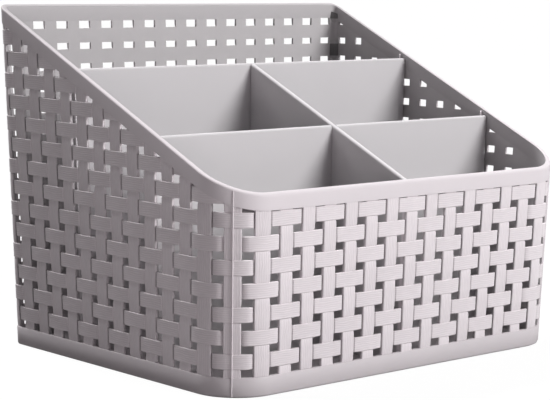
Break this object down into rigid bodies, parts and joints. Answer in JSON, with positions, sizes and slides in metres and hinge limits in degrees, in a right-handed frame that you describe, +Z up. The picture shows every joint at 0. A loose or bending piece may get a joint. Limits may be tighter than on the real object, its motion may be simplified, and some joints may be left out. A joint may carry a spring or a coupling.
{
  "type": "desk caddy",
  "caption": "Open desk caddy moulded in a basket weave, with a rim that slopes down to the front and lift-out divider plates that part it into compartments.",
  "frame": {"origin": "middle of the underside, on the surface that the caddy stands on", "axes": "+X to the caddy's right, along its width; +Y to the high rear wall; +Z up"},
  "size_m": [0.2398, 0.184, 0.1765],
  "materials": {
    "basket_plastic": "satin moulded plastic with fine strand grooves, warm grey",
    "divider_plastic": "smooth satin moulded plastic, warm grey"
  },
  "bodies": {
    "basket": {"base_floor": "basket_plastic", "front_wall": "basket_plastic", "rear_wall": "basket_plastic", "left_wall": "basket_plastic", "right_wall": "basket_plastic", "front_left_corner": "basket_plastic", "front_right_corner": "basket_plastic", "rear_left_corner": "basket_plastic", "rear_right_corner": "basket_plastic", "left_guides": "basket_plastic", "right_guides": "basket_plastic", "front_guides": "basket_plastic"},
    "rear_divider": {"rear_divider": "divider_plastic"},
    "front_divider": {"front_divider": "divider_plastic"},
    "centre_divider": {"centre_divider": "divider_plastic"}
  },
  "joints": [
    {"name": "rear_divider_lift", "type": "slide", "parent": "basket", "child": "rear_divider", "axis": [0, 0, 1], "range_m": [0, 0.15]},
    {"name": "front_divider_lift", "type": "slide", "parent": "basket", "child": "front_divider", "axis": [0, 0, 1], "range_m": [0, 0.122]},
    {"name": "centre_divider_lift", "type": "slide", "parent": "front_divider", "child": "centre_divider", "axis": [0, 0, 1], "range_m": [0, 0.15]}
  ]
}
